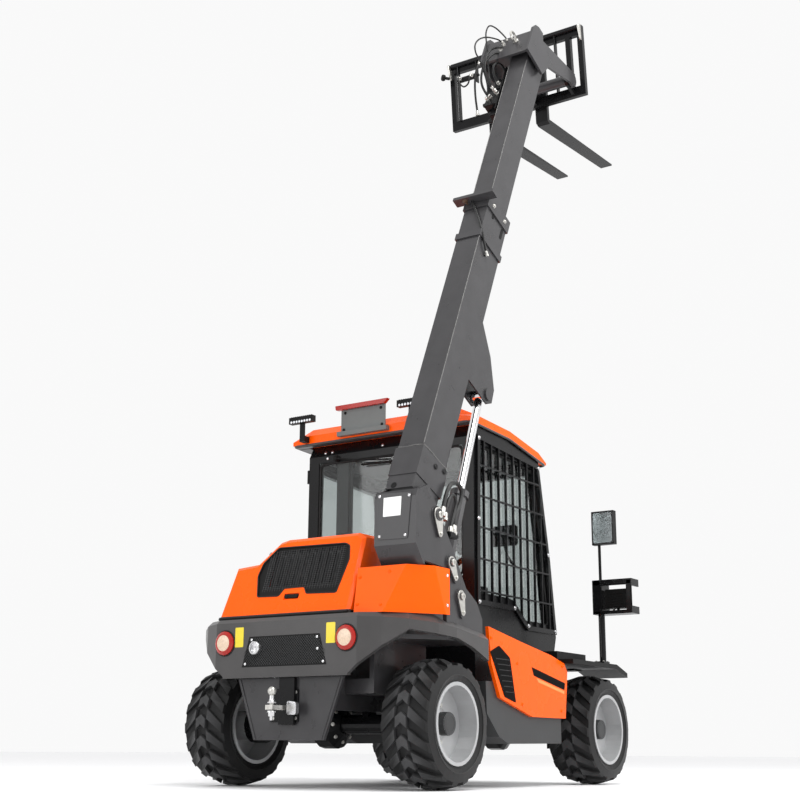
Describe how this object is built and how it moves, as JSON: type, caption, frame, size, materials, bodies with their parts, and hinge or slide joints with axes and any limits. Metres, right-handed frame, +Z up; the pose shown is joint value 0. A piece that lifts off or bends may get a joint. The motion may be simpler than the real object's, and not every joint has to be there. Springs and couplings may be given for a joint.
{
  "type": "compact telehandler",
  "caption": "Compact telehandler with an offset two-stage boom raised and extended, fork carriage and forks, cab with side guard, engine hood and four lugged wheels.",
  "frame": {"origin": "on the ground under the middle of the machine's bounding box", "axes": "+X forward in the driving direction, +Y to the machine's left, +Z up"},
  "size_m": [3.713, 1.98, 5.5617],
  "materials": {
    "frame_grey": "satin",
    "body_grey": "satin",
    "cover_orange": "gloss",
    "panel_orange": "gloss",
    "frame_black": "satin",
    "plastic_black": "matte",
    "pod_grey": "satin",
    "rim_silver": "gloss",
    "tyre": "matte",
    "chrome_rod": "polished",
    "zinc": "satin",
    "cab_glass": "clear",
    "lamp_red": "gloss",
    "seat_fabric": "matte",
    "engine_iron": "matte"
  },
  "bodies": {
    "machine": {"chassis_frame": "frame_grey", "rear_axle": "frame_grey", "front_axle": "frame_grey", "boom_tower": "frame_grey", "tower_rear_plate": "frame_grey", "tower_cover": "cover_orange", "rear_body": "body_grey", "rear_grille": "plastic_black", "tail_lamp_left": "lamp_red", "tail_lamp_right": "lamp_red", "hitch_plate": "frame_grey", "tow_hitch": "zinc", "engine_block": "engine_iron", "side_box_left": "pod_grey", "side_box_right": "pod_grey", "side_panel_right": "panel_orange", "front_fender_left": "plastic_black", "front_fender_right": "plastic_black", "mirror_post": "frame_black", "front_work_lamp": "plastic_black", "door_mirror": "plastic_black", "cab_frame": "frame_black", "cab_roof": "panel_orange", "rear_window": "cab_glass", "right_window": "cab_glass", "windscreen": "cab_glass", "window_guard": "frame_black", "driver_seat": "seat_fabric", "steering_wheel": "plastic_black", "work_lamp_left": "plastic_black", "work_lamp_right": "plastic_black", "plate_holder": "frame_black"},
    "hood": {"engine_hood": "panel_orange", "hood_grille": "plastic_black"},
    "door": {"cab_door": "frame_black", "door_glass": "cab_glass"},
    "boom_outer_section": {"boom_outer": "frame_grey"},
    "boom_inner_section": {"boom_inner": "frame_grey"},
    "carriage": {"fork_carriage": "frame_black", "fork_left": "frame_black", "fork_right": "frame_black"},
    "lift_cylinder_barrel": {"lift_barrel": "frame_grey"},
    "lift_cylinder_rod": {"lift_rod": "chrome_rod"},
    "front_knuckle_left": {"knuckle_left": "frame_grey"},
    "front_knuckle_right": {"knuckle_right": "frame_grey"},
    "wheel_rear_left": {"tyre_rear_left": "tyre", "rim_rear_left": "rim_silver"},
    "wheel_rear_right": {"tyre_rear_right": "tyre", "rim_rear_right": "rim_silver"},
    "wheel_front_left": {"tyre_front_left": "tyre", "rim_front_left": "rim_silver"},
    "wheel_front_right": {"tyre_front_right": "tyre", "rim_front_right": "rim_silver"}
  },
  "joints": [
    {"name": "boom_lift", "type": "hinge", "parent": "machine", "child": "boom_outer_section", "pos_m": [-1.44147, -0.555, 1.48], "axis": [0, -1, 0], "range_deg": [-78.2, 1.8]},
    {"name": "boom_extend", "type": "slide", "parent": "boom_outer_section", "child": "boom_inner_section", "axis": [0.4035, 0, 0.915], "range_m": [-1.2, 0]},
    {"name": "carriage_tilt", "type": "hinge", "parent": "boom_inner_section", "child": "carriage", "pos_m": [0.55052, -0.46, 5.10436], "axis": [0, 1, 0], "range_deg": [-76, 45]},
    {"name": "lift_barrel_swing", "type": "hinge", "parent": "machine", "child": "lift_cylinder_barrel", "pos_m": [-1.20147, -0.555, 1.05], "axis": [0, -1, 0], "range_deg": [-77.6, 1.9]},
    {"name": "lift_rod_slide", "type": "slide", "parent": "lift_cylinder_barrel", "child": "lift_cylinder_rod", "axis": [0.3552, 0, 0.9348], "range_m": [-0.622, 0.015]},
    {"name": "steer_left", "type": "hinge", "parent": "machine", "child": "front_knuckle_left", "pos_m": [0.67053, 0.655, 0.352], "axis": [0, 0, 1], "range_deg": [-30, 30]},
    {"name": "steer_right", "type": "hinge", "parent": "machine", "child": "front_knuckle_right", "pos_m": [0.67053, -0.405, 0.352], "axis": [0, 0, 1], "range_deg": [-30, 30]},
    {"name": "hood_hinge", "type": "hinge", "parent": "machine", "child": "hood", "pos_m": [-0.63147, 0.215, 1.41], "axis": [0, 1, 0], "range_deg": [0, 50]},
    {"name": "cab_door_hinge", "type": "hinge", "parent": "machine", "child": "door", "pos_m": [-0.53022, 0.907, 1.4], "axis": [0, 0, 1], "range_deg": [0, 85]},
    {"name": "wheel_rear_left_spin", "type": "hinge", "parent": "machine", "child": "wheel_rear_left", "pos_m": [-1.27147, 0.829, 0.352], "axis": [0, 1, 0], "continuous": true},
    {"name": "wheel_rear_right_spin", "type": "hinge", "parent": "machine", "child": "wheel_rear_right", "pos_m": [-1.27147, -0.579, 0.352], "axis": [0, 1, 0], "continuous": true},
    {"name": "wheel_front_left_spin", "type": "hinge", "parent": "front_knuckle_left", "child": "wheel_front_left", "pos_m": [0.67053, 0.829, 0.352], "axis": [0, 1, 0], "continuous": true},
    {"name": "wheel_front_right_spin", "type": "hinge", "parent": "front_knuckle_right", "child": "wheel_front_right", "pos_m": [0.67053, -0.579, 0.352], "axis": [0, 1, 0], "continuous": true}
  ],
  "couplings": [
    {"joint": "lift_barrel_swing", "follows": "boom_lift", "ratio": 0.99051},
    {"joint": "lift_rod_slide", "follows": "boom_lift", "m_per_rad": 0.45499},
    {"joint": "steer_right", "follows": "steer_left", "ratio": 1}
  ]
}
